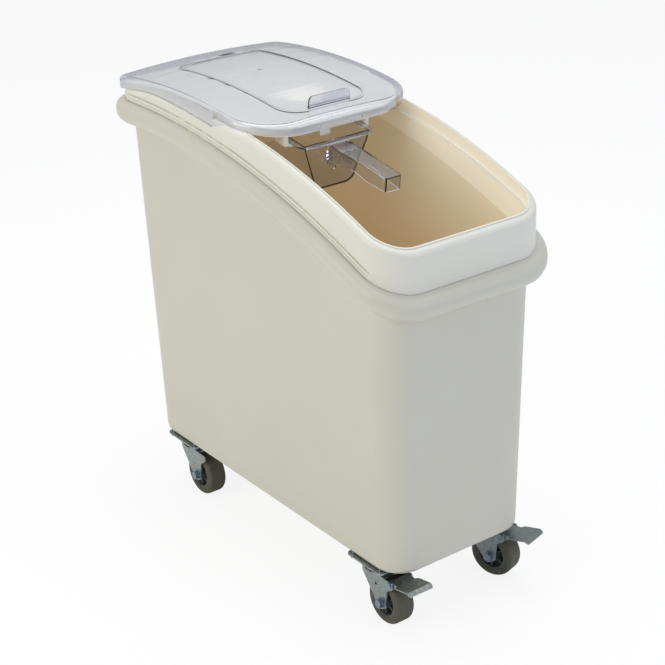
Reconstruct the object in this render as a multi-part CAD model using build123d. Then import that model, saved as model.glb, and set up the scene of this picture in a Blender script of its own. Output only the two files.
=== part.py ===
from build123d import *
import math
import os

os.makedirs("parts", exist_ok=True)

# Mobile ingredient bin, in millimetres: +Z up, the low front faces -Y, and the
# origin is on the floor under the middle of the bin.

# Overall sizes
total_length = 743.0
total_width = 330.0
tub_bottom_z = 99.0
tub_wall = 4.5
tub_floor = 5.0

# Tub body
body_bottom_half_width = 130.5
body_bottom_front = 332.0
body_bottom_rear = 324.0
side_draft = 0.7
front_draft = 1.4
rear_draft = 1.86
body_corner_radius = 45.0
bottom_edge_radius = 9.0
inside_bottom_radius = 14.0

# The rim follows two arcs about axes along X: one for the flange, one for the
# collar's top edge, along which the lid slides.
flange_arc_y = 267.0
flange_arc_z = -807.0
flange_low_radius = 1458.0
flange_depth = 37.0
lid_arc_y = 139.0
lid_arc_z = -475.0
crest_radius = 1195.0

# Flange
flange_top_round = 14.0
flange_low_round = 19.0

# Collar that stands on the flange
collar_half_width = 149.5
collar_front = 353.5
collar_rear = 355.5
collar_corner_radius = 58.5
collar_inner_step = 11.5
collar_crest_width = 2.5
collar_step_drop = 1.5
collar_shoulder_round = 8.5
collar_foot_chamfer = 1.2
ledge_depth = 20.0
ledge_round = 2.8
track_rise = 10.5
track_height = 3.6
track_depth = 2.6
seat_rise = 27.0
seat_depth = 6.0
seat_front = 59.0
track_front = 316.0
track_rear = 330.0
bead_rise = 5.0
bead_height = 1.4
bead_depth = 0.9

# Rear lid: a shallow box turned upside down, seated on the crest
lid_rest_gap = 0.3
rear_lid_height = 10.5
rear_lid_wall = 3.0
rear_lid_edge_round = 3.0
rear_lid_front = 58.0
rear_lid_half_width = 143.0
rear_lid_corner = 75.0
rest_rib_wall = 3.0
rear_skirt_gap = 0.6
rear_skirt_front = 60.5
rear_skirt_rise = 30.5
lip_drop = 2.4
lip_side_gap = 3.0
tongue_x = -29.5
tongue_width = 19.0
tongue_drop = 11.0
tongue_wall = 3.0

# Sliding lid
lid_wall = 2.5
lid_half_width = 154.5
lid_front = 61.0
lid_rear = 328.0
lid_front_corner = 76.0
lid_rear_corner = 16.0
lid_side_height = 5.2
lid_crown = 7.0
lid_top_shift = 15.0
lid_edge_round = 7.0
lid_slide_gap = 0.6
lid_crest_gap = 2.0
lid_skirt_ramp = 15.0
lid_skirt_rise = 31.0
lid_skirt_front = 15.0
panel_depth = 1.8
panel_half_width = 76.0
panel_front = 34.0
panel_rear = 266.0
panel_corner_radius = 34.0
panel_rear_corner = 6.0
grip_half_width = 37.5
grip_height = 16.0
grip_thickness = 3.0
grip_corner = 9.0
grip_inset = 2.0
grip_foot_height = 2.5
grip_foot_thickness = 5.5
finger_notch_half_width = 38.0
finger_notch_rise = 3.0
gate_radius = 3.2
gate_depth = 0.7
gate_y = 150.0

# Scoop, hung on two rails under the rear lid
scoop_x = -23.5
scoop_y = -80.0
scoop_z = 691.0
scoop_tilt = 9.0
scoop_wall = 2.2
scoop_half_width = 60.5
scoop_bottom_half_width = 34.0
scoop_depth = 76.0
scoop_bottom_round = 20.0
scoop_top_length = 118.0
scoop_bottom_length = 165.0
scoop_flange = 8.0
scoop_rim_corner = 20.0
handle_root_width = 38.0
handle_width = 28.0
handle_height = 22.0
handle_length = 134.0
handle_slope = -1.0
handle_wall = 2.6
handle_drop = 5.5
gusset_width = 32.0
gusset_depth = 37.0
gusset_length = 18.0
rail_gap = 0.5
rail_wall = 5.5
rail_foot = 7.5
rail_foot_thickness = 5.0
rail_length = 30.0
rail_pad = 16.0
rail_pad_thickness = 3.0

# Castors
wheel_diameter = 75.0
wheel_width = 32.0
wheel_trail = 25.7
tread_thickness = 12.0
tread_crown_round = 7.0
castor_half_spacing = 101.4
castor_front = 261.0
castor_rear = 247.0
rest_swivel = {"front_left": 0.0, "front_right": 16.0, "rear_left": 0.0, "rear_right": 0.0}
plate_width = 66.0
plate_length = 84.0
plate_thickness = 2.5
plate_corner = 8.0
plate_bolt_half_x = 25.0
plate_bolt_half_y = 32.0
plate_bolt_diameter = 6.4
plate_hole_gap = 0.3
plate_bolt_head = 3.6
plate_bolt_head_across = 11.0
plate_bolt_grip = 4.0
race_radius = 23.0
race_skirt_wall = 1.6
race_skirt_gap = 0.7
race_skirt_drop = 1.6
race_gap = 1.2
cup_height = 3.0
cage_thickness = 0.6
cage_width = 2.4
ball_ring_radius = 16.0
ball_diameter = 4.4
ball_count = 18
ball_gap = 0.3
crown_round = 24.0
fork_thickness = 2.6
fork_gap = 2.0
fork_top_z = 83.5
king_pin_diameter = 10.0
king_pin_head = 15.0
king_pin_gap = 0.06
king_pin_head_height = 2.4
axle_diameter = 8.0
sleeve_diameter = 12.0
sleeve_gap = 0.06
axle_gap = 0.05
axle_head_across = 13.0
axle_head_height = 5.3
axle_washer_diameter = 17.0
axle_washer_thickness = 1.4
hub_bore_length = 33.4
hub_boss_radius = 11.0
hub_web = 7.0
hub_groove_radius = 21.0
brake_pivot_y = -46.0
brake_pivot_z = 78.5
brake_pivot_diameter = 5.0
brake_pivot_gap = 0.06
pedal_half_width = 22.5
pedal_tip = 97.0
pedal_thickness = 2.0
pedal_rise = 5.0
pedal_cheek_gap = 0.5
shoe_gap = 1.8
shoe_width = 18.0

parts = {}


def plan_block(half_width, front, rear, corner, low, high):
    sketch = Pos(0, (rear - front) / 2, low) * RectangleRounded(2 * half_width, front + rear, corner)
    return extrude(sketch, high - low)


def x_cylinder(radius, y, z, x0=-400.0, x1=400.0):
    return Pos((x0 + x1) / 2, y, z) * Rot(0, 90, 0) * Cylinder(radius, x1 - x0)


def rod(radius, z0, z1):
    return Pos(0, 0, (z0 + z1) / 2) * Cylinder(radius, z1 - z0)


def box(x0, x1, y0, y1, z0, z1):
    return Pos((x0 + x1) / 2, (y0 + y1) / 2, (z0 + z1) / 2) * Box(x1 - x0, y1 - y0, z1 - z0)


def under_flange_arc(radius):
    return x_cylinder(radius, flange_arc_y, flange_arc_z)


def under_lid_arc(radius):
    return x_cylinder(radius, lid_arc_y, lid_arc_z)


def lid_arc_height(radius, y):
    return lid_arc_z + math.sqrt(radius**2 - (y - lid_arc_y) ** 2)


def arc_distance(edge, y, z):
    point = edge.position_at(0.5)
    return math.hypot(point.Y - y, point.Z - z)


def upright(edge):
    tangent = edge.tangent_at(0.5)
    return abs(tangent.Z) > 0.99


def drafted_body(inset, low, high):
    """The drafted body, or its inside, from one height to another."""
    half, front, rear = [], [], []
    for z in (low, high):
        rise = z - tub_bottom_z
        half.append(body_bottom_half_width + rise * math.tan(math.radians(side_draft)) - inset)
        front.append(body_bottom_front + rise * math.tan(math.radians(front_draft)) - inset)
        rear.append(body_bottom_rear + rise * math.tan(math.radians(rear_draft)) - inset)
    across = Polygon((-half[0], low), (half[0], low), (half[1], high), (-half[1], high), align=None)
    along = Polygon((-front[0], low), (rear[0], low), (rear[1], high), (-front[1], high), align=None)
    block = extrude(Plane.XZ * across, 2 * total_length, both=True)
    block = block & extrude(Plane.YZ * along, 2 * total_width, both=True)
    slanted = [e for e in block.edges() if upright(e)]
    return fillet(slanted, body_corner_radius - inset)


# Tub: drafted body and the rolled flange, open above
flange_high_radius = flange_low_radius + flange_depth
top_z = lid_arc_z + crest_radius + 40.0
body = drafted_body(0.0, tub_bottom_z, top_z)
body = fillet(body.edges().group_by(Axis.Z)[0], bottom_edge_radius)
body = body & under_flange_arc(flange_high_radius)
flange_corner = body_corner_radius + total_width / 2 - body_bottom_half_width - 5.5
flange = plan_block(total_width / 2, total_length / 2, total_length / 2, flange_corner, 380.0, top_z)
flange = flange & under_flange_arc(flange_high_radius)
flange = flange - under_flange_arc(flange_low_radius)
ring = [e for e in flange.edges() if not upright(e)]
middle_radius = (flange_low_radius + flange_high_radius) / 2
upper = [e for e in ring if arc_distance(e, flange_arc_y, flange_arc_z) > middle_radius]
flange = fillet(upper, flange_top_round)
ring = [e for e in flange.edges() if abs(arc_distance(e, flange_arc_y, flange_arc_z) - flange_low_radius) < 0.3]
flange = fillet(ring, flange_low_round)
inside = drafted_body(tub_wall, tub_bottom_z + tub_floor, top_z + 1.0)
inside = fillet(inside.edges().group_by(Axis.Z)[0], inside_bottom_radius)
tub = body + flange - inside
parts["tub"] = tub

# Collar: stands on the flange, with the crest, the ledge inside and the side tracks
collar = plan_block(collar_half_width, collar_front, collar_rear, collar_corner_radius, 440.0, top_z)
collar = collar & under_lid_arc(crest_radius)
collar = collar - under_flange_arc(flange_high_radius)
crest_inset = collar_inner_step - collar_crest_width
crest_block = plan_block(
    collar_half_width - crest_inset,
    collar_front - crest_inset,
    collar_rear - crest_inset,
    collar_corner_radius - crest_inset,
    440.0,
    top_z,
)
outer_block = plan_block(200.0, 400.0, 400.0, 20.0, 440.0, top_z)
shoulder_radius = crest_radius - collar_step_drop
collar = collar - ((outer_block - crest_block) - under_lid_arc(shoulder_radius))


def on_outside(edge):
    point = edge.position_at(0.5)
    inner = crest_block.is_inside(Vector(point.X, point.Y, 500.0))
    near = plan_block(
        collar_half_width - 1.0,
        collar_front - 1.0,
        collar_rear - 1.0,
        collar_corner_radius - 1.0,
        440.0,
        top_z,
    )
    return not inner and not near.is_inside(Vector(point.X, point.Y, 500.0))


ring = [e for e in collar.edges() if not upright(e) and on_outside(e)]
upper = [e for e in ring if abs(arc_distance(e, lid_arc_y, lid_arc_z) - shoulder_radius) < 0.3]
collar = fillet(upper, collar_shoulder_round)
ring = [e for e in collar.edges() if not upright(e) and on_outside(e)]
lower = [e for e in ring if abs(arc_distance(e, flange_arc_y, flange_arc_z) - flange_high_radius) < 0.3]
collar = chamfer(lower, collar_foot_chamfer)
collar = collar - drafted_body(tub_wall, tub_bottom_z + tub_floor, top_z + 1.0)
recess = plan_block(
    collar_half_width - collar_inner_step,
    collar_front - collar_inner_step,
    collar_rear - collar_inner_step,
    collar_corner_radius - collar_inner_step,
    440.0,
    top_z,
)
ledge_radius = crest_radius - ledge_depth
collar = collar - (recess - under_lid_arc(ledge_radius))
track_low = flange_high_radius + track_rise
bead_low = flange_high_radius + bead_rise
for side in (-1, 1):
    for low, height, depth in ((track_low, track_height, track_depth), (bead_low, bead_height, bead_depth)):
        slot = box(0, 20.0, -track_front, track_rear, 480.0, top_z)
        slot = Pos(collar_half_width - depth, 0, 0) * slot
        slot = slot if side > 0 else mirror(slot, Plane.YZ)
        slot = (slot & under_flange_arc(low + height)) - under_flange_arc(low)
        collar = collar - slot
# The rear lid's side walls hang in a seat cut into the collar's sides
seat_half_width = collar_half_width - seat_depth
seat_plan = plan_block(
    seat_half_width,
    collar_front - seat_depth,
    collar_rear - seat_depth,
    collar_corner_radius - seat_depth,
    440.0,
    top_z,
)
seat = (outer_block - seat_plan) & box(-200, 200, seat_front, 400, 440, top_z)
collar = collar - (seat - under_flange_arc(flange_high_radius + seat_rise))
parts["rim_collar"] = collar

# Rear lid: an upside-down box behind the opening, with a rib that sits on the crest
rest_radius = crest_radius + lid_rest_gap
rear_top_radius = rest_radius + rear_lid_height
skirt_inner_half = seat_half_width + rear_skirt_gap
skirt_inner_rear = collar_rear - seat_depth + rear_skirt_gap
skirt_inner_corner = collar_corner_radius - seat_depth + rear_skirt_gap


def rear_lid_plan(inset):
    """The rear lid's plan: narrow with round corners in front, full width behind."""
    front = plan_block(
        rear_lid_half_width - inset,
        rear_lid_front - inset,
        skirt_inner_rear - rear_lid_corner,
        rear_lid_corner - inset,
        560.0,
        top_z,
    )
    wide = plan_block(
        skirt_inner_half + rear_lid_wall - inset,
        collar_front,
        skirt_inner_rear + rear_lid_wall - inset,
        skirt_inner_corner + rear_lid_wall - inset,
        560.0,
        top_z,
    )
    return front + (wide & box(-200, 200, rear_skirt_front + inset, 400, 560, top_z))


cap = rear_lid_plan(0.0) & under_lid_arc(rear_top_radius)
ring = [e for e in cap.edges() if not upright(e) and arc_distance(e, lid_arc_y, lid_arc_z) > rear_top_radius - 0.5]
cap = fillet(ring, rear_lid_edge_round)
cavity = rear_lid_plan(rear_lid_wall) & under_lid_arc(rear_top_radius - rear_lid_wall)
shell = cap - cavity
rear_lid = shell - under_lid_arc(rest_radius)
skirt_low = under_flange_arc(flange_high_radius + rear_skirt_rise)
side_walls = (shell & under_lid_arc(rest_radius + 1.0)) & box(-200, 200, rear_skirt_front, 400, 560, top_z)
side_walls = side_walls - plan_block(skirt_inner_half, 300, 400, 1.0, 560, top_z) - skirt_low
side_walls = side_walls & box(-200, 200, rear_skirt_front, skirt_inner_rear - skirt_inner_corner, 560, top_z)
rear_lid = rear_lid + side_walls
rib_half = collar_half_width - collar_inner_step + rest_rib_wall
rib_plan = plan_block(
    rib_half,
    rear_lid_front,
    collar_rear - collar_inner_step + rest_rib_wall,
    collar_corner_radius - collar_inner_step + rest_rib_wall,
    560.0,
    top_z,
)
rib_core = plan_block(
    rib_half - rest_rib_wall,
    rear_lid_front + 100.0,
    collar_rear - collar_inner_step,
    collar_corner_radius - collar_inner_step,
    560.0,
    top_z,
)
rib = ((rib_plan - rib_core) & cavity) - under_lid_arc(rest_radius)
rear_lid = rear_lid + rib
lip_half = collar_half_width - collar_inner_step - lip_side_gap
lip = (shell & box(-lip_half, lip_half, -rear_lid_front - 1, 0, 560, top_z)) & under_lid_arc(rest_radius + 1.0)
rear_lid = rear_lid + (lip - under_lid_arc(crest_radius - lip_drop))
tongue_top = lid_arc_height(rest_radius, -rear_lid_front)
tongue_face = Pos(tongue_x, 0, tongue_top - tongue_drop / 2) * Rot(90, 0, 0) * SlotOverall(
    2 * tongue_drop, tongue_width, rotation=90
)
tongue = extrude(tongue_face, tongue_wall / 2, both=True)
tongue = Pos(0, -rear_lid_front + tongue_wall / 2, 0) * tongue
tongue = tongue & box(-200, 200, -200, 200, tongue_top - tongue_drop, tongue_top + 1.0)
rear_lid = rear_lid + tongue

# Sliding lid: one clear moulding with a crowned top, bent along the lid arc
lid_top_y = lid_arc_y + lid_top_shift
lid_top_axis = Axis((0, lid_top_y, lid_arc_z), (1, 0, 0))
lid_plane = Plane(origin=(0, lid_top_y, lid_arc_z), x_dir=(1, 0, 0), z_dir=(0, -1, 0))


def crowned(half_width, edge_radius, crown):
    """A solid under a surface crowned across X and bent about the lid's top axis."""
    low = crest_radius - 30.0
    top = ThreePointArc((-half_width, edge_radius), (0, edge_radius + crown), (half_width, edge_radius))
    lines = Polyline((half_width, edge_radius), (half_width, low), (-half_width, low), (-half_width, edge_radius))
    section = lid_plane * make_face(Curve() + top + lines)
    swung = revolve(section, lid_top_axis, 34.0)
    return swung.rotate(lid_top_axis, -17.0)


lid_edge_radius = rear_top_radius + lid_slide_gap + lid_side_height
outer = crowned(lid_half_width + 8.0, lid_edge_radius, lid_crown)


def lid_plan(inset):
    """The lid's plan: wide round corners in front and small ones behind."""
    half = lid_half_width - inset
    block = box(-half, half, -lid_front + inset, lid_rear - inset, 560, top_z)
    sides = block.edges().filter_by(Axis.Z).group_by(Axis.Y)
    block = fillet(sides[0], lid_front_corner - inset)
    sides = block.edges().filter_by(Axis.Z).group_by(Axis.Y)
    return fillet(sides[-1], lid_rear_corner - inset)


lid_outer = outer & lid_plan(0.0)
ring = [e for e in lid_outer.edges() if not upright(e)]
ring = [e for e in ring if arc_distance(e, lid_arc_y, lid_arc_z) > lid_edge_radius - 9.0]
lid_outer = fillet(ring, lid_edge_round)
lid_inner = crowned(lid_half_width + 8.0, lid_edge_radius - lid_wall, lid_crown) & lid_plan(lid_wall)
ring = [e for e in lid_inner.edges() if not upright(e)]
ring = [e for e in ring if arc_distance(e, lid_arc_y, lid_arc_z) > lid_edge_radius - 9.0]
lid_inner = fillet(ring, lid_edge_round - lid_wall)
sliding_lid = lid_outer - lid_inner
# Skirts: shallow in front, deep along the sides, and cut clear of the rear lid behind
front_low = rest_radius + lid_crest_gap
slide_radius = rear_top_radius + lid_slide_gap
front_zone = box(-200, 200, -lid_front - 5, lid_skirt_front, 560, top_z)
side_zone = box(-200, 200, lid_skirt_front, lid_rear + 5, 560, top_z)
rear_zone = box(-lid_half_width + lid_wall, lid_half_width - lid_wall, rear_skirt_front, lid_rear + 5, 560, top_z)
ramp_start = Pos(0, lid_skirt_front, lid_arc_height(front_low, lid_skirt_front))
ramp = ramp_start * Rot(-lid_skirt_ramp, 0, 0) * box(-200, 200, -1.0, 200, -200, 0)
sliding_lid = sliding_lid - (front_zone & under_lid_arc(front_low))
skirt_cut = under_flange_arc(flange_high_radius + lid_skirt_rise) & under_lid_arc(rest_radius + lid_rest_gap)
sliding_lid = sliding_lid - (side_zone & skirt_cut)
sliding_lid = sliding_lid - (side_zone & ramp)
sliding_lid = sliding_lid - (rear_zone & under_lid_arc(slide_radius))
# A shallow panel is sunk into the top
top_radius = lid_edge_radius - panel_depth


def panel_plan(inset):
    half = panel_half_width - inset
    block = box(-half, half, -panel_front + inset, panel_rear - inset, 560, top_z)
    sides = block.edges().filter_by(Axis.Z).group_by(Axis.Y)
    block = fillet(sides[0], panel_corner_radius - inset)
    sides = block.edges().filter_by(Axis.Z).group_by(Axis.Y)
    return fillet(sides[-1], panel_rear_corner - inset)


tray = crowned(lid_half_width + 8.0, lid_edge_radius - 0.5, lid_crown) - crowned(
    lid_half_width + 8.0, top_radius - lid_wall, lid_crown
)
tray = tray & panel_plan(-lid_wall)
sunk = panel_plan(0.0) - crowned(lid_half_width + 8.0, top_radius, lid_crown)
sliding_lid = sliding_lid + tray - sunk
# An upright finger grip stands just behind the panel's front edge
grip_y = -panel_front + grip_inset
grip_base = lid_arc_height(top_radius, grip_y)
grip_top = grip_base + lid_crown + grip_height
grip_plate = box(-grip_half_width, grip_half_width, grip_y, grip_y + grip_thickness, grip_base - 5.0, grip_top)
top_corners = grip_plate.edges().filter_by(Axis.Y).group_by(Axis.Z)[-1]
grip_plate = fillet(top_corners, grip_corner)
grip_foot = box(-grip_half_width, grip_half_width, grip_y, grip_y + grip_foot_thickness, grip_base - 5.0, grip_base + 20.0)
grip_foot = grip_foot & crowned(lid_half_width + 8.0, top_radius + grip_foot_height, lid_crown)
grip = (grip_plate + grip_foot) - crowned(lid_half_width + 8.0, top_radius - 1.0, lid_crown)
sliding_lid = sliding_lid + grip
notch = box(-finger_notch_half_width, finger_notch_half_width, -lid_front - 2, -lid_front + lid_wall + 1, 600, top_z)
sliding_lid = sliding_lid - (notch & under_lid_arc(front_low + finger_notch_rise))
gate_top = lid_arc_height(top_radius + lid_crown, gate_y)
sliding_lid = sliding_lid - Pos(0, gate_y, gate_top) * Cylinder(gate_radius, 2 * gate_depth)
parts["sliding_lid"] = sliding_lid


# Scoop, built level about its own rim corner, then tilted and placed
def scoop_section(inset):
    top = scoop_half_width - inset
    low = scoop_bottom_half_width - inset
    depth = scoop_depth - inset
    outline = Polygon((-top, 0), (-low, -depth), (low, -depth), (top, 0), align=None)
    corners = outline.vertices().sort_by(Axis.Y)[:2]
    return fillet(corners, scoop_bottom_round - inset)


def along_y(face, y0, y1):
    solid = extrude(Plane.XZ * face, y1 - y0, dir=(0, 1, 0))
    return Pos(0, y0, 0) * solid


bowl = along_y(scoop_section(0.0), 0.0, scoop_bottom_length)
hollow = along_y(scoop_section(scoop_wall), scoop_wall, scoop_bottom_length + 5.0)
hollow = hollow + box(-scoop_half_width + scoop_wall, scoop_half_width - scoop_wall, scoop_wall, 200, -0.5, 5)
mouth_angle = math.degrees(math.atan2(scoop_bottom_length - scoop_top_length, scoop_depth))
mouth = Pos(0, scoop_top_length, 0) * Rot(mouth_angle, 0, 0) * box(-100, 100, 0, 200, -200, 60)
rim = box(
    -scoop_half_width - scoop_flange,
    scoop_half_width + scoop_flange,
    -scoop_flange,
    scoop_top_length,
    -scoop_wall,
    0,
)
front_corners = [e for e in rim.edges().filter_by(Axis.Z) if e.position_at(0.5).Y < 0]
rim = fillet(front_corners, scoop_rim_corner)
scoop = bowl + rim - hollow
scoop = scoop - mouth


def handle_plan(inset, root_y, low, high):
    """The handle's plan, wider where it meets the bowl."""
    root = handle_root_width / 2 - inset
    tip = handle_width / 2 - inset
    end = -handle_length + inset
    outline = Polygon((-root, root_y), (-tip, end), (tip, end), (root, root_y), align=None)
    return Pos(0, 0, low) * extrude(outline, high - low)


arm = handle_plan(0.0, scoop_wall, -handle_height, 0)
tip_edges = [e for e in arm.edges() if upright(e)]
tip_edges = [e for e in tip_edges if e.position_at(0.5).Y < 1 - handle_length]
arm = fillet(tip_edges, 4.0)
waist = x_cylinder(90.0, -handle_length * 0.45, -handle_height - 90.0 + 4.5, -100, 100)
arm = arm - waist
arm = arm - handle_plan(handle_wall, -handle_wall, -handle_height - 1, -handle_wall)
arm = Pos(0, 0, -handle_drop) * Rot(handle_slope, 0, 0) * arm
gusset = box(-gusset_width / 2, gusset_width / 2, -gusset_length, scoop_wall * 0.5, -gusset_depth, -handle_drop)
gusset = gusset - box(
    -gusset_width / 2 + handle_wall,
    gusset_width / 2 - handle_wall,
    -gusset_length - 1,
    0,
    -gusset_depth - 1,
    -handle_drop - handle_wall,
)
arm = arm + gusset
arm = arm & box(-100, 100, -200, scoop_wall * 0.5, -100, 5)
scoop = scoop + arm
scoop_place = Pos(scoop_x, scoop_y, scoop_z) * Rot(scoop_tilt, 0, 0)
parts["scoop"] = scoop_place * scoop

# Two rails under the rear lid carry the scoop's rim
rail_front_y = (-rear_lid_front - scoop_y) / math.cos(math.radians(scoop_tilt))
rail_inner = scoop_half_width + scoop_flange + rail_gap
for name, side in (("scoop_rail_left", -1), ("scoop_rail_right", 1)):
    leg = box(rail_inner, rail_inner + rail_wall, rail_front_y, rail_front_y + rail_length, -10, 40)
    foot = box(
        rail_inner - rail_foot,
        rail_inner + rail_wall,
        rail_front_y,
        rail_front_y + rail_length,
        -scoop_wall - rail_gap - rail_foot_thickness,
        -scoop_wall - rail_gap,
    )
    leg = leg & box(0, 200, -200, 200, -scoop_wall - rail_gap - rail_foot_thickness, 60)
    rail = leg + foot
    rail = rail if side > 0 else mirror(rail, Plane.YZ)
    rail = scoop_place * rail
    pad = box(
        scoop_x + side * (rail_inner + rail_wall / 2) - rail_pad / 2,
        scoop_x + side * (rail_inner + rail_wall / 2) + rail_pad / 2,
        -rear_lid_front + rear_lid_wall,
        -rear_lid_front + rail_length,
        600,
        top_z,
    )
    under_plate = under_lid_arc(rear_top_radius - rear_lid_wall)
    pad = (pad & under_plate) - under_lid_arc(rear_top_radius - rear_lid_wall - rail_pad_thickness)
    inside_lid = under_plate & rear_lid_plan(rear_lid_wall)
    rail = (rail & inside_lid) + (rail & under_lid_arc(rest_radius) & rear_lid_plan(0.0)) + (pad & inside_lid)
    rear_lid = rear_lid - rail
    parts[name] = rail
parts["rear_lid"] = rear_lid

# Castors: one set of pieces, made about the swivel axis with the wheel towards -Y
wheel_radius = wheel_diameter / 2
core_radius = wheel_radius - tread_thickness
fork_inside = hub_bore_length / 2 + fork_gap / 2
fork_outside = fork_inside + fork_thickness
plate_top = tub_bottom_z
plate_low = plate_top - plate_thickness
cup_top = fork_top_z + cup_height
ball_z = cup_top + race_gap / 2


def wheel_pieces():
    tread = x_cylinder(wheel_radius, 0, 0, -wheel_width / 2, wheel_width / 2)
    tread = fillet(tread.edges().filter_by(GeomType.CIRCLE), tread_crown_round)
    tread = tread - x_cylinder(core_radius, 0, 0)
    core = x_cylinder(core_radius, 0, 0, -wheel_width / 2 + 1.0, wheel_width / 2 - 1.0)
    for side in (-1, 1):
        face = wheel_width / 2 - 1.0
        dish = x_cylinder(core_radius - 3.0, 0, 0, hub_web / 2, face + 1.0)
        dish = dish - x_cylinder(hub_boss_radius, 0, 0, 0, face + 2.0)
        dish = dish if side > 0 else mirror(dish, Plane.YZ)
        core = core - dish
    boss = x_cylinder(hub_boss_radius, 0, 0, -hub_bore_length / 2, hub_bore_length / 2)
    core = core + boss
    for index in range(6):
        rib = box(-wheel_width / 2 + 4.0, wheel_width / 2 - 4.0, -1.1, 1.1, hub_boss_radius - 1.0, core_radius - 2.0)
        core = core + Rot(index * 60.0, 0, 0) * rib
    core = core - x_cylinder(sleeve_diameter / 2 + sleeve_gap, 0, 0)
    return tread, core


def castor(braked):
    pieces = {}
    tread, core = wheel_pieces()
    at_axle = Pos(0, -wheel_trail, wheel_radius)
    pieces["tread"] = at_axle * tread
    pieces["wheel_core"] = at_axle * core
    sleeve = x_cylinder(sleeve_diameter / 2, 0, 0, -fork_inside, fork_inside)
    sleeve = sleeve - x_cylinder(axle_diameter / 2 + axle_gap, 0, 0)
    pieces["axle_sleeve"] = at_axle * sleeve
    # Fork: a crown over the wheel and two legs that narrow to the axle
    leg_side = Polygon(
        (14.0, fork_top_z),
        (20.0, fork_top_z - 6.0),
        (3.0, 56.0),
        (-wheel_trail + 12.0, wheel_radius - 4.0),
        (-wheel_trail, wheel_radius - 12.0),
        (-wheel_trail - 12.0, wheel_radius - 4.0),
        (brake_pivot_y + 6.0, 64.0),
        (brake_pivot_y - 6.0, brake_pivot_z - 7.0),
        (brake_pivot_y - 6.0, fork_top_z),
        align=None,
    )
    leg_side = fillet(leg_side.vertices(), 3.0)
    leg = extrude(Plane.YZ * leg_side, fork_thickness, dir=(1, 0, 0))
    right = Pos(fork_inside, 0, 0) * leg
    left = Pos(-fork_outside, 0, 0) * leg
    crown = box(-fork_outside, fork_outside, brake_pivot_y + 14.0, 20.0, fork_top_z - fork_thickness, fork_top_z)
    dome = rod(crown_round, fork_top_z - fork_thickness, fork_top_z)
    cup = rod(race_radius - race_skirt_wall - race_skirt_gap, fork_top_z, cup_top)
    fork = right + left + crown + dome + cup
    fork = fork - rod(king_pin_diameter / 2 + king_pin_gap, 0, 200)
    groove = Pos(0, 0, ball_z) * Torus(ball_ring_radius, ball_diameter / 2 + ball_gap)
    fork = fork - groove
    fork = fork - x_cylinder(axle_diameter / 2 + axle_gap, -wheel_trail, wheel_radius)
    if braked:
        fork = fork - x_cylinder(brake_pivot_diameter / 2 + brake_pivot_gap, brake_pivot_y, brake_pivot_z)
        fork = fork - x_cylinder(2.2, -14.0, 66.0)
    pieces["fork"] = fork
    # Raceway fixed under the plate, with the caged ball ring between
    race_low = cup_top + race_gap
    race = rod(race_radius, cup_top - race_skirt_drop, plate_low)
    race = fillet(race.edges().group_by(Axis.Z)[-1], 2.0)
    race = race - rod(race_radius - race_skirt_wall, cup_top - race_skirt_drop - 1.0, race_low)
    race = race - groove
    race = race - rod(king_pin_diameter / 2, 0, 200)
    pieces["race_cup"] = race
    ring = rod(ball_ring_radius + cage_width / 2, ball_z - cage_thickness / 2, ball_z + cage_thickness / 2)
    ring = ring - rod(ball_ring_radius - cage_width / 2, 0, 200)
    for index in range(ball_count):
        angle = 360.0 * index / ball_count
        ring = ring + Rot(0, 0, angle) * Pos(ball_ring_radius, 0, ball_z) * Sphere(ball_diameter / 2)
    pieces["ball_ring"] = ring
    # King pin: a rivet through the plate, the raceway and the fork
    pin_low = fork_top_z - fork_thickness - ball_gap
    pin = rod(king_pin_diameter / 2, pin_low, plate_top)
    head = rod(king_pin_head / 2, pin_low - king_pin_head_height, pin_low)
    head = fillet(head.edges().group_by(Axis.Z)[0], king_pin_head_height * 0.6)
    pieces["king_pin"] = pin + head
    # Top plate with its four bolts
    plate = Pos(0, 0, plate_low) * extrude(RectangleRounded(plate_width, plate_length, plate_corner), plate_thickness)
    plate = plate - rod(king_pin_diameter / 2, 0, 200)
    bolts = []
    for x in (-plate_bolt_half_x, plate_bolt_half_x):
        for y in (-plate_bolt_half_y, plate_bolt_half_y):
            plate = plate - Pos(x, y, plate_low) * Cylinder(plate_bolt_diameter / 2 + plate_hole_gap, 20)
            shank = Pos(x, y, 0) * rod(plate_bolt_diameter / 2, plate_low, plate_top + plate_bolt_grip)
            hexagon = RegularPolygon(plate_bolt_head_across / 2, 6, major_radius=False)
            bolt_head = Pos(x, y, plate_low - plate_bolt_head) * extrude(hexagon, plate_bolt_head)
            bolts.append(shank + bolt_head)
    pieces["top_plate"] = plate
    pieces["plate_bolts"] = Compound(bolts)
    # Axle bolt, its washers and nut
    axle = x_cylinder(axle_diameter / 2, 0, 0, -fork_outside - axle_washer_thickness, fork_outside + 8.5)
    hexagon = RegularPolygon(axle_head_across / 2, 6, major_radius=False)
    axle_head = Rot(0, 90, 0) * extrude(hexagon, axle_head_height)
    axle_head = Pos(-fork_outside - axle_washer_thickness - axle_head_height, 0, 0) * axle_head
    washer = x_cylinder(axle_washer_diameter / 2, 0, 0, -fork_outside - axle_washer_thickness, -fork_outside)
    pieces["axle_bolt"] = at_axle * (axle + axle_head + washer)
    nut = Pos(fork_outside + axle_washer_thickness, 0, 0) * Rot(0, 90, 0) * extrude(hexagon, 6.0)
    far_washer = x_cylinder(axle_washer_diameter / 2, 0, 0, fork_outside, fork_outside + axle_washer_thickness)
    nut = (nut + far_washer) - x_cylinder(axle_diameter / 2, 0, 0)
    pieces["axle_nut"] = at_axle * nut
    if braked:
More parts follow.
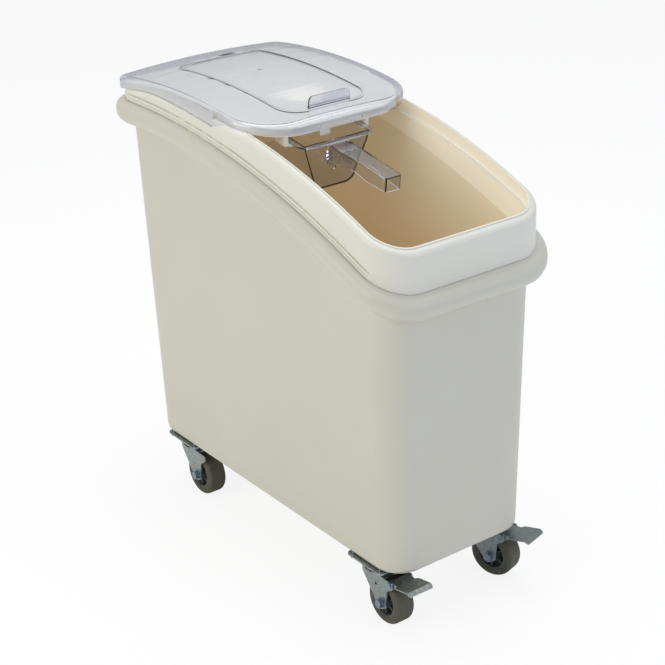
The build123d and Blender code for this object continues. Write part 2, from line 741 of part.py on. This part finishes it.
        # Pedal: a pressed plate with two cheeks between the fork's ears and a shoe
        cheek_x = fork_inside - pedal_cheek_gap
        cheek_side = Polygon(
            (brake_pivot_y + 7.0, brake_pivot_z - 3.0),
            (brake_pivot_y + 6.0, brake_pivot_z + 3.0),
            (brake_pivot_y - 16.0, brake_pivot_z + 4.0),
            (brake_pivot_y - 16.0, brake_pivot_z - 1.0),
            (brake_pivot_y - 5.0, brake_pivot_z - 6.0),
            align=None,
        )
        cheek_side = fillet(cheek_side.vertices(), 1.5)
        cheek = extrude(Plane.YZ * cheek_side, pedal_thickness, dir=(1, 0, 0))
        pedal = Pos(cheek_x - pedal_thickness, 0, 0) * cheek + Pos(-cheek_x, 0, 0) * cheek
        paddle_profile = Polyline(
            (brake_pivot_y + 2.0, brake_pivot_z + 3.0),
            (brake_pivot_y - 16.0, brake_pivot_z + 3.0),
            (-pedal_tip + 6.0, brake_pivot_z + 3.0 + pedal_rise),
            (-pedal_tip, brake_pivot_z + pedal_rise),
        )
        paddle_face = Plane.YZ * make_face(offset(paddle_profile, pedal_thickness / 2, kind=Kind.INTERSECTION))
        narrow = extrude(paddle_face, cheek_x, both=True)
        narrow = narrow & box(-100, 100, brake_pivot_y - 18.0, 0, 0, 200)
        wide = extrude(paddle_face, pedal_half_width, both=True)
        wide_cut = Pos(0, (brake_pivot_y - 17.0 - pedal_tip) / 2, 0) * extrude(
            RectangleRounded(2 * pedal_half_width, pedal_tip + brake_pivot_y - 17.0 + 4.0, 6.0), 200
        )
        wide = wide & wide_cut
        pedal = pedal + narrow + wide
        shoe_reach = wheel_radius + shoe_gap
        shoe = box(-shoe_width / 2, shoe_width / 2, brake_pivot_y - 4.0, brake_pivot_y + 6.0, 40.0, brake_pivot_z - 3.5)
        shoe = shoe - x_cylinder(shoe_reach, -wheel_trail, wheel_radius)
        shoe = shoe & box(-100, 100, -200, 100, brake_pivot_z - 16.0, 200)
        web_low = brake_pivot_z - 4.0
        web_high = brake_pivot_z + 2.5
        web = box(-shoe_width / 2, shoe_width / 2, brake_pivot_y - 4.0, brake_pivot_y + 4.0, web_low, web_high)
        pedal = pedal + shoe + web
        pedal = pedal - x_cylinder(brake_pivot_diameter / 2 + brake_pivot_gap, brake_pivot_y, brake_pivot_z)
        pieces["brake_pedal"] = pedal
        pivot = x_cylinder(brake_pivot_diameter / 2, brake_pivot_y, brake_pivot_z, -fork_outside - 1.2, fork_outside + 1.2)
        for x0, x1 in ((-fork_outside - 1.6, -fork_outside), (fork_outside, fork_outside + 1.6)):
            pivot = pivot + x_cylinder(brake_pivot_diameter / 2 + 1.8, brake_pivot_y, brake_pivot_z, x0, x1)
        pieces["brake_pivot"] = pivot
    return pieces


corners = {
    "front_left": (-castor_half_spacing, -castor_front, True),
    "front_right": (castor_half_spacing, -castor_front, True),
    "rear_left": (-castor_half_spacing, castor_rear, False),
    "rear_right": (castor_half_spacing, castor_rear, False),
}
fixed_pieces = ("top_plate", "plate_bolts", "race_cup", "king_pin", "ball_ring")
castors = {braked: castor(braked) for braked in (True, False)}
for corner, (x, y, braked) in corners.items():
    for piece, solid in castors[braked].items():
        turn = 0.0 if piece in fixed_pieces else rest_swivel[corner]
        placed = Pos(x, y, 0) * Rot(0, 0, turn) * solid
        parts[corner + "_" + piece] = placed
        if piece == "plate_bolts":
            holes = Pos(x, y, 0) * Compound(
                [
                    Pos(bx, by, tub_bottom_z) * Cylinder(plate_bolt_diameter / 2, 2 * plate_bolt_grip + 0.4)
                    for bx in (-plate_bolt_half_x, plate_bolt_half_x)
                    for by in (-plate_bolt_half_y, plate_bolt_half_y)
                ]
            )
            parts["tub"] = parts["tub"] - holes

for name, solid in parts.items():
    solid.label = name
    export_step(solid, "parts/" + name + ".step")
    print(name, round(solid.volume), [round(v, 1) for v in (*solid.bounding_box().min, *solid.bounding_box().max)])
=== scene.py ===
import math

import bpy
from mathutils import Matrix, Vector

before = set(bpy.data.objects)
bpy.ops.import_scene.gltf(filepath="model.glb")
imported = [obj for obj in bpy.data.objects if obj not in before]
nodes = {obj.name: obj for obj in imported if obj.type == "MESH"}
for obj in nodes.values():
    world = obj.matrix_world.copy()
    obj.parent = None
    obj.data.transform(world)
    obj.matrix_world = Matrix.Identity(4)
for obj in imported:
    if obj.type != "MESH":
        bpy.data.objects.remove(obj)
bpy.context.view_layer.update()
scene = bpy.context.scene
scene.view_settings.view_transform = "Standard"
print("frame loaded,", len(nodes), "nodes")

mm = 0.001  # metres


def linear(hexColour):
    values = [int(hexColour[i : i + 2], 16) / 255 for i in (0, 2, 4)]
    return [v / 12.92 if v <= 0.04045 else ((v + 0.055) / 1.055) ** 2.4 for v in values] + [1.0]


def perMetre(sizeMm):
    return 1000.0 / sizeMm  # texture scale that gives one feature each sizeMm


def addNode(tree, kind, values=None, links=None, **settings):
    node = tree.nodes.new(kind)
    for name, value in settings.items():
        setattr(node, name, value)
    for socket, value in (values or {}).items():
        node.inputs[socket].default_value = value
    for socket, (source, output) in (links or {}).items():
        tree.links.new(source.outputs[output], node.inputs[socket])
    return node


def newMaterial(name):
    material = bpy.data.materials.new(name)
    material.use_nodes = True
    tree = material.node_tree
    tree.nodes.clear()
    output = addNode(tree, "ShaderNodeOutputMaterial")
    place = addNode(tree, "ShaderNodeTexCoord")  # object coordinates are the bin's frame, in metres
    return material, tree, output, place


# Two tones that drift into each other over the mottle's size
def addMottle(tree, place, look):
    noise = addNode(
        tree,
        "ShaderNodeTexNoise",
        {"Scale": perMetre(look["mottleMm"]), "Detail": look["mottleDetail"]},
        {"Vector": (place, "Object")},
    )
    colour = addNode(
        tree,
        "ShaderNodeMix",
        {"A": linear(look["colour"]), "B": linear(look["mottle"])},
        {"Factor": (noise, "Fac")},
        data_type="RGBA",
    )
    return noise, colour


# A noise relief of a real size and depth, laid over another one where given
def addRelief(tree, place, relief, under=None):
    noise = addNode(
        tree,
        "ShaderNodeTexNoise",
        {"Scale": perMetre(relief["sizeMm"]), "Detail": relief["detail"]},
        {"Vector": (place, "Object")},
    )
    links = {"Height": (noise, "Fac")}
    if under:
        links["Normal"] = (under, "Normal")
    return addNode(tree, "ShaderNodeBump", {"Strength": 1.0, "Distance": relief["depthMm"] * mm}, links)


# Inside of the bin, where light and shade are painted: 1 on faces turned to its middle and on its floor, 0
# elsewhere
insideLook = {"facing": (-0.05, -0.07), "floorTopM": 0.14, "floorSlope": 0.3}


def addInsideMask(tree, place, look):
    geometry = addNode(tree, "ShaderNodeNewGeometry")
    level = {1: (1.0, 1.0, 0.0)}  # drops the height
    across = addNode(tree, "ShaderNodeVectorMath", level, {0: (place, "Object")}, operation="MULTIPLY")
    outward = addNode(tree, "ShaderNodeVectorMath", None, {0: (across, "Vector")}, operation="NORMALIZE")
    facing = addNode(
        tree,
        "ShaderNodeVectorMath",
        None,
        {0: (outward, "Vector"), 1: (geometry, "True Normal")},
        operation="DOT_PRODUCT",
    )
    inward = addNode(
        tree,
        "ShaderNodeMapRange",
        {"From Min": look["facing"][0], "From Max": look["facing"][1]},
        {"Value": (facing, "Value")},
    )
    height = addNode(tree, "ShaderNodeSeparateXYZ", None, {"Vector": (place, "Object")})
    low = addNode(
        tree,
        "ShaderNodeMath",
        {1: look["floorTopM"]},
        {0: (height, "Z")},
        operation="LESS_THAN",
    )
    slope = addNode(tree, "ShaderNodeSeparateXYZ", None, {"Vector": (geometry, "True Normal")})
    upward = addNode(
        tree,
        "ShaderNodeMath",
        {1: look["floorSlope"]},
        {0: (slope, "Z")},
        operation="GREATER_THAN",
    )
    innerFloor = addNode(
        tree,
        "ShaderNodeMath",
        None,
        {0: (low, "Value"), 1: (upward, "Value")},
        operation="MULTIPLY",
    )
    return addNode(
        tree,
        "ShaderNodeMath",
        None,
        {0: (inward, "Result"), 1: (innerFloor, "Value")},
        operation="MAXIMUM",
    )


# Tub: rotomoulded polyethylene. Waxy satin ivory, faint mottling, a fine orange peel, and
# grey rub marks near the floor where other bins knock it. Its inside carries painted light:
# a lighter, warmer colour, painted shade that browns it with depth, and a painted glow that
# stands in for light coming through the real wall.
tubPlastic = {
    "colour": "CBCABD",
    "mottle": "C6C4B6",
    "mottleMm": 160,
    "mottleDetail": 3.0,
    # Painted light inside: a lighter warm colour, painted shade browning it with depth, and a painted glow
    "inside": "E9E3D0",
    "deep": "D9C79C",
    "deepMm": (640, 380),
    "paintedGlow": "564B3D",
    "rub": "B9B4A6",
    "rubShare": 0.45,
    "rubHeightMm": (330, 99),
    "scuffMm": (55, 3.5),
    "scuffDetail": 2.0,
    "scuffRagged": 0.7,
    "scuffEdge": (0.66, 0.74),
    "patchMm": 70,
    "patchDetail": 2.0,
    "patchEdge": (0.52, 0.66),
    "roughness": (0.36, 0.50),
    "wave": {"sizeMm": 90, "depthMm": 0.35, "detail": 0.0},
    "peel": {"sizeMm": 2.2, "depthMm": 0.035, "detail": 2.0},
    "ior": 1.51,
}


# Short level scuffs, kept to patches and fading upwards from the tub's bottom edge
def addRubMarks(tree, place, height, look):
    low = addNode(
        tree,
        "ShaderNodeMapRange",
        {"From Min": look["rubHeightMm"][0] * mm, "From Max": look["rubHeightMm"][1] * mm},
        {"Value": (height, "Z")},
    )
    long, short = (perMetre(size) for size in look["scuffMm"])
    stretch = addNode(
        tree,
        "ShaderNodeMapping",
        {"Scale": (long, long, short)},
        {"Vector": (place, "Object")},
    )
    scuff = addNode(
        tree,
        "ShaderNodeTexNoise",
        {"Scale": 1.0, "Detail": look["scuffDetail"], "Roughness": look["scuffRagged"]},
        {"Vector": (stretch, "Vector")},
    )
    scuffEdge = addNode(
        tree,
        "ShaderNodeMapRange",
        {"From Min": look["scuffEdge"][0], "From Max": look["scuffEdge"][1]},
        {"Value": (scuff, "Fac")},
    )
    patch = addNode(
        tree,
        "ShaderNodeTexNoise",
        {"Scale": perMetre(look["patchMm"]), "Detail": look["patchDetail"]},
        {"Vector": (place, "Object")},
    )
    patchEdge = addNode(
        tree,
        "ShaderNodeMapRange",
        {"From Min": look["patchEdge"][0], "From Max": look["patchEdge"][1]},
        {"Value": (patch, "Fac")},
    )
    rub = addNode(
        tree,
        "ShaderNodeMath",
        None,
        {0: (scuffEdge, "Result"), 1: (patchEdge, "Result")},
        operation="MULTIPLY",
    )
    rubLow = addNode(
        tree,
        "ShaderNodeMath",
        None,
        {0: (rub, "Value"), 1: (low, "Result")},
        operation="MULTIPLY",
    )
    return addNode(
        tree,
        "ShaderNodeMath",
        {1: look["rubShare"]},
        {0: (rubLow, "Value")},
        operation="MULTIPLY",
    )


def makeTubPlastic(look):
    material, tree, output, place = newMaterial("tubPolyethylene")
    mottle, base = addMottle(tree, place, look)
    height = addNode(tree, "ShaderNodeSeparateXYZ", None, {"Vector": (place, "Object")})
    rubMarks = addRubMarks(tree, place, height, look)
    worn = addNode(
        tree,
        "ShaderNodeMix",
        {"B": linear(look["rub"])},
        {"Factor": (rubMarks, "Value"), "A": (base, "Result")},
        data_type="RGBA",
    )
    # Painted light and shade inside the bin: a lighter warm colour, browner with depth as painted shade
    inside = addInsideMask(tree, place, insideLook)
    paintedShadeWithDepth = addNode(
        tree,
        "ShaderNodeMapRange",
        {"From Min": look["deepMm"][0] * mm, "From Max": look["deepMm"][1] * mm},
        {"Value": (height, "Z")},
    )
    paintedInsideColour = addNode(
        tree,
        "ShaderNodeMix",
        {"A": linear(look["inside"]), "B": linear(look["deep"])},
        {"Factor": (paintedShadeWithDepth, "Result")},
        data_type="RGBA",
    )
    colour = addNode(
        tree,
        "ShaderNodeMix",
        None,
        {"Factor": (inside, "Value"), "A": (worn, "Result"), "B": (paintedInsideColour, "Result")},
        data_type="RGBA",
    )
    sheen = addNode(
        tree,
        "ShaderNodeMapRange",
        {"To Min": look["roughness"][0], "To Max": look["roughness"][1]},
        {"Value": (mottle, "Fac")},
    )
    wave = addRelief(tree, place, look["wave"])
    peel = addRelief(tree, place, look["peel"], wave)
    # The emission on the inside faces is a painted glow, standing in for light through the wall
    shader = addNode(
        tree,
        "ShaderNodeBsdfPrincipled",
        {"IOR": look["ior"], "Emission Color": linear(look["paintedGlow"])},
        {
            "Base Color": (colour, "Result"),
            "Roughness": (sheen, "Result"),
            "Normal": (peel, "Normal"),
            "Emission Strength": (inside, "Value"),
        },
    )
    tree.links.new(shader.outputs["BSDF"], output.inputs["Surface"])
    return material


# Rim and rear lid: injection-moulded polypropylene. Whiter and glossier than the tub, with a
# faint mould texture, drawn coarser than the real one to show. Its inner side has painted
# light: a lighter colour and a painted glow, like the tub's.
rimPlastic = {
    "colour": "E0DFD6",
    "mottle": "DAD8CC",
    "mottleMm": 120,
    "mottleDetail": 2.0,
    # Painted light on the inner side: a lighter colour and a painted glow
    "inside": "EEEADD",
    "paintedGlow": "6A6252",
    "roughness": (0.26, 0.36),
    "peel": {"sizeMm": 1.6, "depthMm": 0.015, "detail": 1.0},
    "ior": 1.49,
}


def makeRimPlastic(look):
    material, tree, output, place = newMaterial("rimPolypropylene")
    mottle, outside = addMottle(tree, place, look)
    # Painted light on the inner side: a lighter colour
    inside = addInsideMask(tree, place, insideLook)
    colour = addNode(
        tree,
        "ShaderNodeMix",
        {"B": linear(look["inside"])},
        {"Factor": (inside, "Value"), "A": (outside, "Result")},
        data_type="RGBA",
    )
    sheen = addNode(
        tree,
        "ShaderNodeMapRange",
        {"To Min": look["roughness"][0], "To Max": look["roughness"][1]},
        {"Value": (mottle, "Fac")},
    )
    peel = addRelief(tree, place, look["peel"])
    # The emission on the inner faces is a painted glow
    shader = addNode(
        tree,
        "ShaderNodeBsdfPrincipled",
        {"IOR": look["ior"], "Emission Color": linear(look["paintedGlow"])},
        {
            "Base Color": (colour, "Result"),
            "Roughness": (sheen, "Result"),
            "Normal": (peel, "Normal"),
            "Emission Strength": (inside, "Value"),
        },
    )
    tree.links.new(shader.outputs["BSDF"], output.inputs["Surface"])
    return material


# Lid and scoop: clear injection-moulded polycarbonate. Bright edges, a cool cast where it is
# thick, and handling scratches, drawn wider than real ones to show. Shadow rays pass, because
# the real one casts almost no shadow.
clearPlastic = {
    "colour": "E2E3EA",
    "shadow": "E6EAEC",
    "ior": 1.585,
    "roughness": 0.03,
    "scratchMm": (26, 0.9),
    "scratchTurn": 0.25,
    "scratchDetail": 1.0,
    "scratchEdge": (0.68, 0.72),
    "scratchDepthMm": 0.006,
}


def makeClearPlastic(look):
    material, tree, output, place = newMaterial("clearPolycarbonate")
    long, short = (perMetre(size) for size in look["scratchMm"])
    stretch = addNode(
        tree,
        "ShaderNodeMapping",
        {"Scale": (short, long, long), "Rotation": (0.0, 0.0, look["scratchTurn"])},
        {"Vector": (place, "Object")},
    )
    scratch = addNode(
        tree,
        "ShaderNodeTexNoise",
        {"Scale": 1.0, "Detail": look["scratchDetail"]},
        {"Vector": (stretch, "Vector")},
    )
    line = addNode(
        tree,
        "ShaderNodeMapRange",
        {"From Min": look["scratchEdge"][0], "From Max": look["scratchEdge"][1]},
        {"Value": (scratch, "Fac")},
    )
    bump = addNode(
        tree,
        "ShaderNodeBump",
        {"Strength": 1.0, "Distance": look["scratchDepthMm"] * mm},
        {"Height": (line, "Result")},
    )
    shader = addNode(
        tree,
        "ShaderNodeBsdfPrincipled",
        {
            "Base Color": linear(look["colour"]),
            "IOR": look["ior"],
            "Roughness": look["roughness"],
            "Transmission Weight": 1.0,
        },
        {"Normal": (bump, "Normal")},
    )
    clear = addNode(tree, "ShaderNodeBsdfTransparent", {"Color": linear(look["shadow"])})
    path = addNode(tree, "ShaderNodeLightPath")
    mix = addNode(
        tree,
        "ShaderNodeMixShader",
        None,
        {"Fac": (path, "Is Shadow Ray"), 1: (shader, "BSDF"), 2: (clear, "BSDF")},
    )
    tree.links.new(mix.outputs["Shader"], output.inputs["Surface"])
    return material


# Castor plates, forks and pedals: pressed steel, bright zinc plated. Cool grey and mottled,
# with patches that shine more, and light pitting, drawn coarser than the real one to show.
zincSteel = {
    "colour": "AEB5B3",
    "mottle": "868D8B",
    "mottleMm": 6,
    "mottleDetail": 4.0,
    "sheenFrom": (0.3, 0.7),
    "roughness": (0.24, 0.46),
    "pit": {"sizeMm": 1.2, "depthMm": 0.02, "detail": 2.0},
}


def makeZincSteel(look):
    material, tree, output, place = newMaterial("zincPlatedSteel")
    mottle, colour = addMottle(tree, place, look)
    sheen = addNode(
        tree,
        "ShaderNodeMapRange",
        {
            "From Min": look["sheenFrom"][0],
            "From Max": look["sheenFrom"][1],
            "To Min": look["roughness"][0],
            "To Max": look["roughness"][1],
        },
        {"Value": (mottle, "Fac")},
    )
    pit = addRelief(tree, place, look["pit"])
    shader = addNode(
        tree,
        "ShaderNodeBsdfPrincipled",
        {"Metallic": 1.0},
        {"Base Color": (colour, "Result"), "Roughness": (sheen, "Result"), "Normal": (pit, "Normal")},
    )
    tree.links.new(shader.outputs["BSDF"], output.inputs["Surface"])
    return material


# Bolts, nuts and pins: blue zinc passivated steel, turned and cold headed. Bluer and
# smoother than the pressed pieces.
boltSteel = {"colour": "9FAAB6", "mottle": "7F92A8", "mottleMm": 4, "mottleDetail": 2.0, "roughness": 0.24}


def makeBoltSteel(look):
    material, tree, output, place = newMaterial("blueZincSteel")
    mottle, colour = addMottle(tree, place, look)
    shader = addNode(
        tree,
        "ShaderNodeBsdfPrincipled",
        {"Metallic": 1.0, "Roughness": look["roughness"]},
        {"Base Color": (colour, "Result")},
    )
    tree.links.new(shader.outputs["BSDF"], output.inputs["Surface"])
    return material


# Tread: cast thermoplastic rubber. Matt, dark grey-brown and slightly dusty, with a grain
# drawn coarser than the real one to show.
treadRubber = {
    "colour": "47473A",
    "mottle": "57564A",
    "mottleMm": 9,
    "mottleDetail": 4.0,
    "roughness": (0.55, 0.75),
    "grain": {"sizeMm": 0.9, "depthMm": 0.03, "detail": 1.0},
    "ior": 1.5,
}


def makeTreadRubber(look):
    material, tree, output, place = newMaterial("treadRubber")
    dust, colour = addMottle(tree, place, look)
    sheen = addNode(
        tree,
        "ShaderNodeMapRange",
        {"To Min": look["roughness"][0], "To Max": look["roughness"][1]},
        {"Value": (dust, "Fac")},
    )
    grain = addRelief(tree, place, look["grain"])
    shader = addNode(
        tree,
        "ShaderNodeBsdfPrincipled",
        {"IOR": look["ior"]},
        {"Base Color": (colour, "Result"), "Roughness": (sheen, "Result"), "Normal": (grain, "Normal")},
    )
    tree.links.new(shader.outputs["BSDF"], output.inputs["Surface"])
    return material


# Wheel core: grey moulded nylon, semi-matt, a little lighter than the tread.
hubNylon = {
    "colour": "5A5F5C",
    "mottle": "4F5451",
    "mottleMm": 12,
    "mottleDetail": 2.0,
    "roughness": (0.38, 0.5),
    "ior": 1.53,
}


def makeHubNylon(look):
    material, tree, output, place = newMaterial("hubNylon")
    mottle, colour = addMottle(tree, place, look)
    sheen = addNode(
        tree,
        "ShaderNodeMapRange",
        {"To Min": look["roughness"][0], "To Max": look["roughness"][1]},
        {"Value": (mottle, "Fac")},
    )
    shader = addNode(
        tree,
        "ShaderNodeBsdfPrincipled",
        {"IOR": look["ior"]},
        {"Base Color": (colour, "Result"), "Roughness": (sheen, "Result")},
    )
    tree.links.new(shader.outputs["BSDF"], output.inputs["Surface"])
    return material


tubMaterial = makeTubPlastic(tubPlastic)
rimMaterial = makeRimPlastic(rimPlastic)
clearMaterial = makeClearPlastic(clearPlastic)
zincMaterial = makeZincSteel(zincSteel)
boltMaterial = makeBoltSteel(boltSteel)
treadMaterial = makeTreadRubber(treadRubber)
hubMaterial = makeHubNylon(hubNylon)

finishes = {
    "tub": tubMaterial,
    "rim_collar": rimMaterial,
    "rear_lid": rimMaterial,
    "scoop_rail": rimMaterial,
    "sliding_lid": clearMaterial,
    "scoop": clearMaterial,
    "top_plate": zincMaterial,
    "race_cup": zincMaterial,
    "king_pin": zincMaterial,
    "fork": zincMaterial,
    "brake_pedal": zincMaterial,
    "plate_bolts": boltMaterial,
    "axle_bolt": boltMaterial,
    "axle_nut": boltMaterial,
    "brake_pivot": boltMaterial,
    "ball_ring": boltMaterial,
    "axle_sleeve": boltMaterial,
    "tread": treadMaterial,
    "wheel_core": hubMaterial,
}
for name, node in nodes.items():
    kind = max((key for key in finishes if key in name), key=len)  # scoop_rail before scoop
    node.data.materials.clear()
    node.data.materials.append(finishes[kind])
print("materials assigned")

# Floor: lit, and glowing to the camera, so that only the bin's soft shadow shows
floorLook = {"sizeM": 40.0, "glow": 0.86, "colour": "FFFFFF"}


def makeFloor(look):
    bpy.ops.mesh.primitive_plane_add(size=look["sizeM"], location=(0, 0, 0))
    floor = bpy.context.object
    floor.name = "floor"
    material, tree, output, place = newMaterial("paintedFloor")
    paint = addNode(tree, "ShaderNodeBsdfDiffuse", {"Color": linear(look["colour"])})
    glow = addNode(tree, "ShaderNodeEmission", {"Color": linear(look["colour"]), "Strength": 1.0})
    path = addNode(tree, "ShaderNodeLightPath")
    seen = addNode(
        tree,
        "ShaderNodeMath",
        {1: look["glow"]},
        {0: (path, "Is Camera Ray")},
        operation="MULTIPLY",
    )
    mix = addNode(
        tree,
        "ShaderNodeMixShader",
        None,
        {"Fac": (seen, "Value"), 1: (paint, "BSDF"), 2: (glow, "Emission")},
    )
    tree.links.new(mix.outputs["Shader"], output.inputs["Surface"])
    floor.data.materials.append(material)


makeFloor(floorLook)

# Surround: soft cool light, white where the camera sees it directly or through clear plastic
worldLook = {"light": "E9ECF0", "strength": 0.5, "seen": "FFFFFF"}


def makeWorld(look):
    world = bpy.data.worlds.new("studio")
    scene.world = world
    world.use_nodes = True
    tree = world.node_tree
    tree.nodes.clear()
    output = addNode(tree, "ShaderNodeOutputWorld")
    path = addNode(tree, "ShaderNodeLightPath")
    seen = addNode(
        tree,
        "ShaderNodeMath",
        None,
        {0: (path, "Is Camera Ray"), 1: (path, "Is Transmission Ray")},
        operation="MAXIMUM",
    )
    ambient = addNode(
        tree,
        "ShaderNodeBackground",
        {"Color": linear(look["light"]), "Strength": look["strength"]},
    )
    white = addNode(tree, "ShaderNodeBackground", {"Color": linear(look["seen"]), "Strength": 1.0})
    mix = addNode(
        tree,
        "ShaderNodeMixShader",
        None,
        {"Fac": (seen, "Value"), 1: (ambient, "Background"), 2: (white, "Background")},
    )
    tree.links.new(mix.outputs["Shader"], output.inputs["Surface"])


makeWorld(worldLook)

# Soft boxes: a wide warm one on the long side, a cooler one in front, and one overhead
lampLooks = [
    {
        "name": "sideSoftbox",
        "place": (-3.2, 0.3, 2.0),
        "aim": (0, 0, 0.4),
        "sizeM": (2.6, 2.0),
        "watts": 48,
        "colour": "FFFBF0",
    },
    {
        "name": "frontSoftbox",
        "place": (1.4, -3.4, 1.9),
        "aim": (0, 0, 0.4),
        "sizeM": (2.2, 1.8),
        "watts": 36,
        "colour": "DCE4FF",
    },
    {
        "name": "topSoftbox",
        "place": (0.4, 0.2, 3.2),
        "aim": (0, 0, 0.5),
        "sizeM": (2.4, 2.4),
        "watts": 46,
        "colour": "FFFFFF",
    },
]


def addLamp(look):
    light = bpy.data.lights.new(look["name"], "AREA")
    light.shape = "RECTANGLE"
    light.size, light.size_y = look["sizeM"]
    light.energy = look["watts"]
    light.color = linear(look["colour"])[:3]
    lamp = bpy.data.objects.new(look["name"], light)
    scene.collection.objects.link(lamp)
    lamp.location = look["place"]
    towards = Vector(look["aim"]) - Vector(look["place"])
    lamp.rotation_euler = towards.to_track_quat("-Z", "Y").to_euler()


for lampLook in lampLooks:
    addLamp(lampLook)

# Camera: the photograph's viewing angle, fitted to the bin's edges
cameraLook = {
    "azimuth": -35.963,
    "elevation": 24.517,
    "roll": -1.945,
    "distanceM": 2.68065,
    "target": (0.0052, -0.0089, 0.3481),
    "lensMm": 91.92,
    "sensorMm": 36.0,
    "shift": (0.0017, -0.00075),
    "clipEndM": 200.0,
}


def addCamera(look):
    azimuth, elevation, roll = (math.radians(look[key]) for key in ("azimuth", "elevation", "roll"))
    level = math.cos(elevation)
    back = Vector((math.sin(azimuth) * level, -math.cos(azimuth) * level, math.sin(elevation)))
    right = Vector((math.cos(azimuth), math.sin(azimuth), 0.0))
    up = back.cross(right)
    rolledRight = right * math.cos(roll) + up * math.sin(roll)
    rolledUp = up * math.cos(roll) - right * math.sin(roll)
    data = bpy.data.cameras.new("camera")
    data.lens = look["lensMm"]
    data.sensor_width = look["sensorMm"]
    data.shift_x, data.shift_y = look["shift"]
    data.clip_end = look["clipEndM"]
    camera = bpy.data.objects.new("camera", data)
    scene.collection.objects.link(camera)
    turn = Matrix((rolledRight, rolledUp, back)).transposed().to_4x4()
    camera.matrix_world = Matrix.Translation(Vector(look["target"]) + back * look["distanceM"]) @ turn
    scene.camera = camera


addCamera(cameraLook)
print("stage, lamps and camera set")
